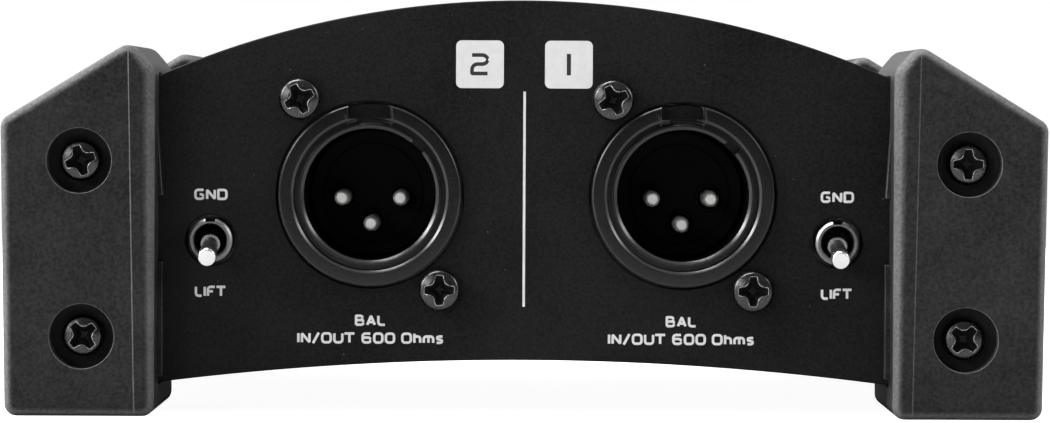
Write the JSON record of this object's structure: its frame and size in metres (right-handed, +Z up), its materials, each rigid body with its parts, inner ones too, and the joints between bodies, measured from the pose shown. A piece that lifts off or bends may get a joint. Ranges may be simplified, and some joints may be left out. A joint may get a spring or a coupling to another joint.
{
  "type": "direct injection box",
  "caption": "Stage signal box with an arched black metal case, rubber corner bumpers, XLR sockets with ground-lift toggles in front and jack sockets behind.",
  "frame": {"origin": "centre of the footprint, level with the undersides of the four bumpers", "axes": "+X to the right seen from the XLR side, -Y the front with the XLR sockets and toggles, +Z up"},
  "size_m": [0.1374, 0.132, 0.0549],
  "materials": {
    "bumper_rubber": "moulded, fine matt texture",
    "black_shell": "black fine-texture powder coat on an aluminium extrusion",
    "black_panel": "black fine-texture powder coat on aluminium, pale printed legends on the front",
    "screw_steel": "black nickel plated",
    "socket_black": "satin black",
    "insert_black": "black moulding",
    "contact_metal": "silver plated contacts and terminals",
    "switch_metal": "nickel plated",
    "switch_body": "black moulding",
    "jack_body": "black moulding",
    "nut_nickel": "nickel plated brass",
    "board": "green solder mask on glass epoxy",
    "core_steel": "laminated steel",
    "coil_tape": "yellow winding tape",
    "capacitor_film": "red dipped film",
    "resistor_body": "blue lacquer"
  },
  "bodies": {
    "box": {"bumper_front_left": "bumper_rubber", "bumper_front_right": "bumper_rubber", "bumper_rear_left": "bumper_rubber", "bumper_rear_right": "bumper_rubber", "bumper_screw_front_left_lower": "screw_steel", "bumper_screw_front_left_upper": "screw_steel", "bumper_screw_front_right_lower": "screw_steel", "bumper_screw_front_right_upper": "screw_steel", "bumper_screw_rear_left_lower": "screw_steel", "bumper_screw_rear_left_upper": "screw_steel", "bumper_screw_rear_right_lower": "screw_steel", "bumper_screw_rear_right_upper": "screw_steel", "circuit_board": "board", "front_panel": "black_panel", "housing_shell": "black_shell", "jack_input_1": "jack_body", "jack_input_2": "jack_body", "jack_link_1": "jack_body", "jack_link_2": "jack_body", "jack_nut_input_1": "nut_nickel", "jack_nut_input_2": "nut_nickel", "jack_nut_link_1": "nut_nickel", "jack_nut_link_2": "nut_nickel", "lift_capacitor_1": "capacitor_film", "lift_capacitor_2": "capacitor_film", "lift_resistor_1": "resistor_body", "lift_resistor_2": "resistor_body", "rear_panel": "black_panel", "toggle_bushing_1": "switch_metal", "toggle_bushing_2": "switch_metal", "toggle_case_1": "switch_body", "toggle_case_2": "switch_body", "toggle_terminal_common_1": "contact_metal", "toggle_terminal_common_2": "contact_metal", "toggle_terminal_lower_1": "contact_metal", "toggle_terminal_lower_2": "contact_metal", "toggle_terminal_upper_1": "contact_metal", "toggle_terminal_upper_2": "contact_metal", "transformer_coil_1": "coil_tape", "transformer_coil_2": "coil_tape", "transformer_core_1": "core_steel", "transformer_core_2": "core_steel", "xlr_insert_1": "insert_black", "xlr_insert_2": "insert_black", "xlr_pin_cold_1": "contact_metal", "xlr_pin_cold_2": "contact_metal", "xlr_pin_ground_1": "contact_metal", "xlr_pin_ground_2": "contact_metal", "xlr_pin_hot_1": "contact_metal", "xlr_pin_hot_2": "contact_metal", "xlr_screw_lower_1": "screw_steel", "xlr_screw_lower_2": "screw_steel", "xlr_screw_upper_1": "screw_steel", "xlr_screw_upper_2": "screw_steel", "xlr_shell_1": "socket_black", "xlr_shell_2": "socket_black"},
    "lever_1": {"toggle_lever_1": "switch_metal"},
    "rocker_1": {"toggle_rocker_1": "contact_metal"},
    "lever_2": {"toggle_lever_2": "switch_metal"},
    "rocker_2": {"toggle_rocker_2": "contact_metal"}
  },
  "joints": [
    {"name": "lever_1_flick", "type": "hinge", "parent": "box", "child": "lever_1", "pos_m": [0.0415, -0.0565, 0.02295], "axis": [-1, 0, 0], "range_deg": [0, 26]},
    {"name": "rocker_1_tilt", "type": "hinge", "parent": "box", "child": "rocker_1", "pos_m": [0.0415, -0.045, 0.02295], "axis": [1, 0, 0], "range_deg": [0, 30]},
    {"name": "lever_2_flick", "type": "hinge", "parent": "box", "child": "lever_2", "pos_m": [-0.0415, -0.0565, 0.02295], "axis": [-1, 0, 0], "range_deg": [0, 26]},
    {"name": "rocker_2_tilt", "type": "hinge", "parent": "box", "child": "rocker_2", "pos_m": [-0.0415, -0.045, 0.02295], "axis": [1, 0, 0], "range_deg": [0, 30]}
  ],
  "couplings": [
    {"joint": "rocker_1_tilt", "follows": "lever_1_flick", "ratio": 1.15},
    {"joint": "rocker_2_tilt", "follows": "lever_2_flick", "ratio": 1.15}
  ]
}
